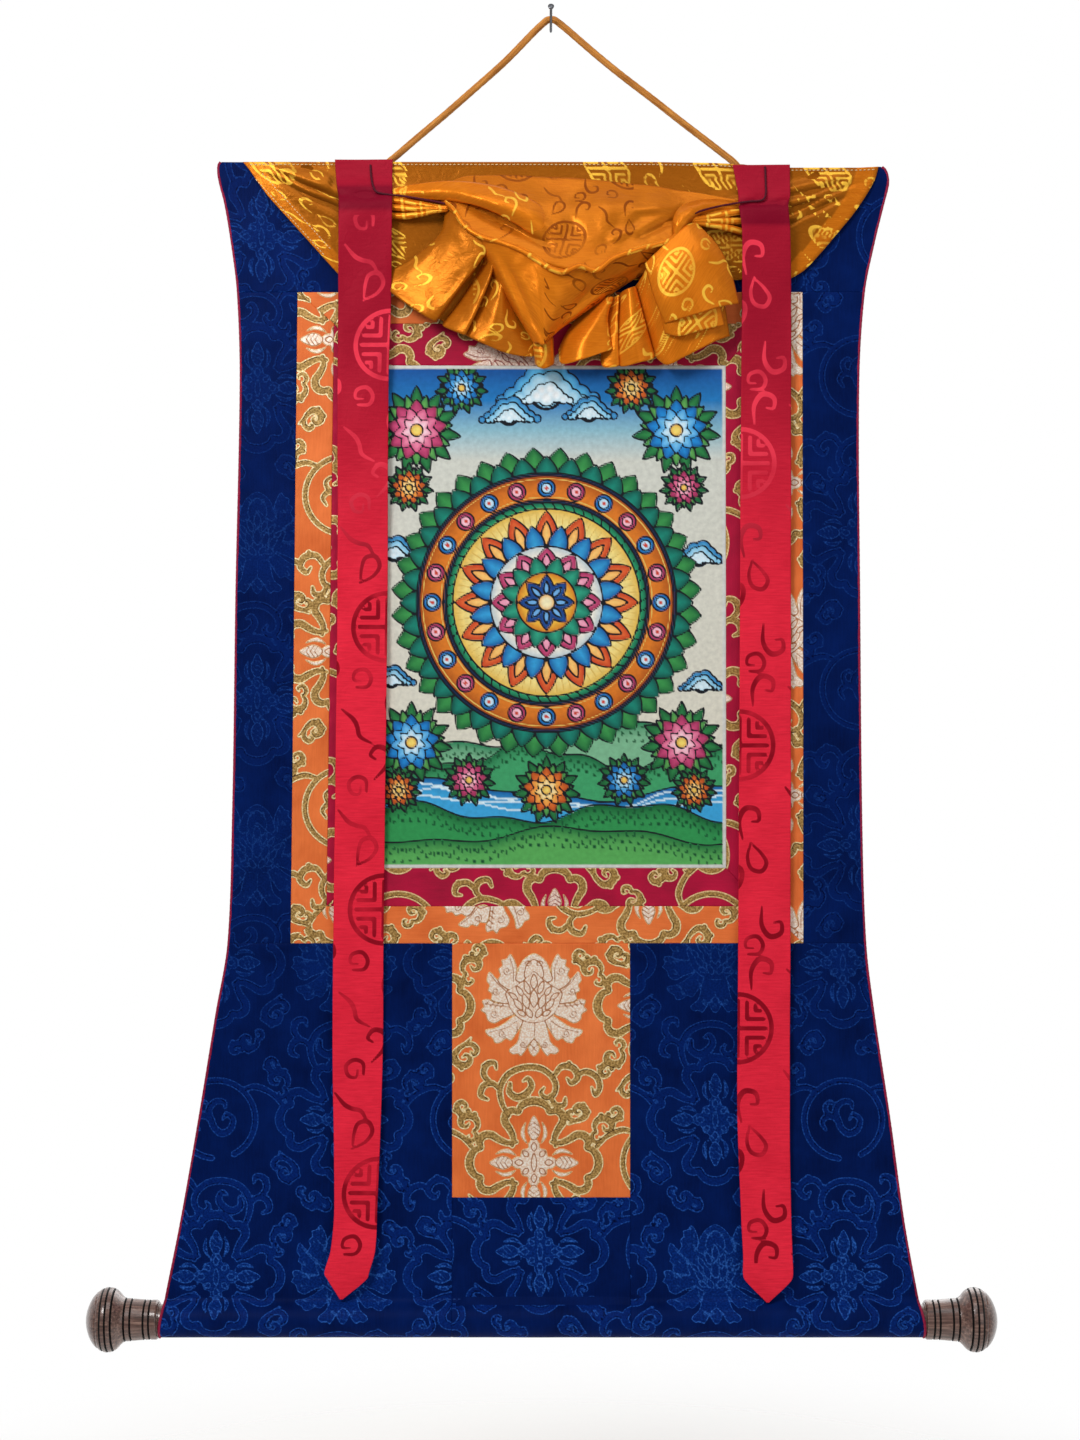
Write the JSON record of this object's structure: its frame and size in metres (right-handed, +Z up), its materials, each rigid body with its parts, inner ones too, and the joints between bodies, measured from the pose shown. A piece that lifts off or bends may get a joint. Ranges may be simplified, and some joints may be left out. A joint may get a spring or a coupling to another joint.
{
  "type": "thangka scroll painting with wall nail",
  "caption": "Hanging scroll painting in pieced silk brocade with a gathered satin veil, red streamers, a roller with turned knobs and a cord over a nail.",
  "frame": {"origin": "centre of the nail's cut end, at the wall plane", "axes": "+Y into the wall, +X to the viewer's right, +Z up"},
  "size_m": [0.7264, 0.0509, 1.0744],
  "materials": {
    "steel": "dull drawn steel",
    "silk_cord": "rolled silk, soft sheen",
    "pale_wood": "raw planed softwood",
    "navy_damask": "tone on tone silk damask",
    "crimson_piping": "matt cotton binding",
    "orange_brocade": "silk brocade with dull gold and cream figures",
    "red_brocade": "silk brocade with dull gold and silver pink figures",
    "painted_cotton": "mineral paint on primed cotton, matt",
    "gold_satin": "glossy silk satin with damask roundels",
    "red_damask": "silk damask ribbon, satin sheen",
    "maroon_thread": "twisted thread cord",
    "walnut": "turned dark walnut, waxed"
  },
  "bodies": {
    "root": {"nail": "steel", "hanging_cord": "silk_cord", "top_batten": "pale_wood", "ground_top": "navy_damask", "ground_left": "navy_damask", "ground_right": "navy_damask", "foot_left": "navy_damask", "foot_centre": "navy_damask", "foot_right": "navy_damask", "piping_left": "crimson_piping", "piping_right": "crimson_piping", "border_orange_top": "orange_brocade", "border_orange_bottom": "orange_brocade", "border_orange_left": "orange_brocade", "border_orange_right": "orange_brocade", "border_red_top": "red_brocade", "border_red_bottom": "red_brocade", "border_red_left": "red_brocade", "border_red_right": "red_brocade", "picture_canvas": "painted_cotton", "door_panel": "orange_brocade", "veil": "gold_satin", "ribbon_left": "red_damask", "ribbon_right": "red_damask", "tie_left": "maroon_thread", "tie_right": "maroon_thread", "roller": "pale_wood", "knob_left": "walnut", "knob_right": "walnut"}
  },
  "joints": []
}
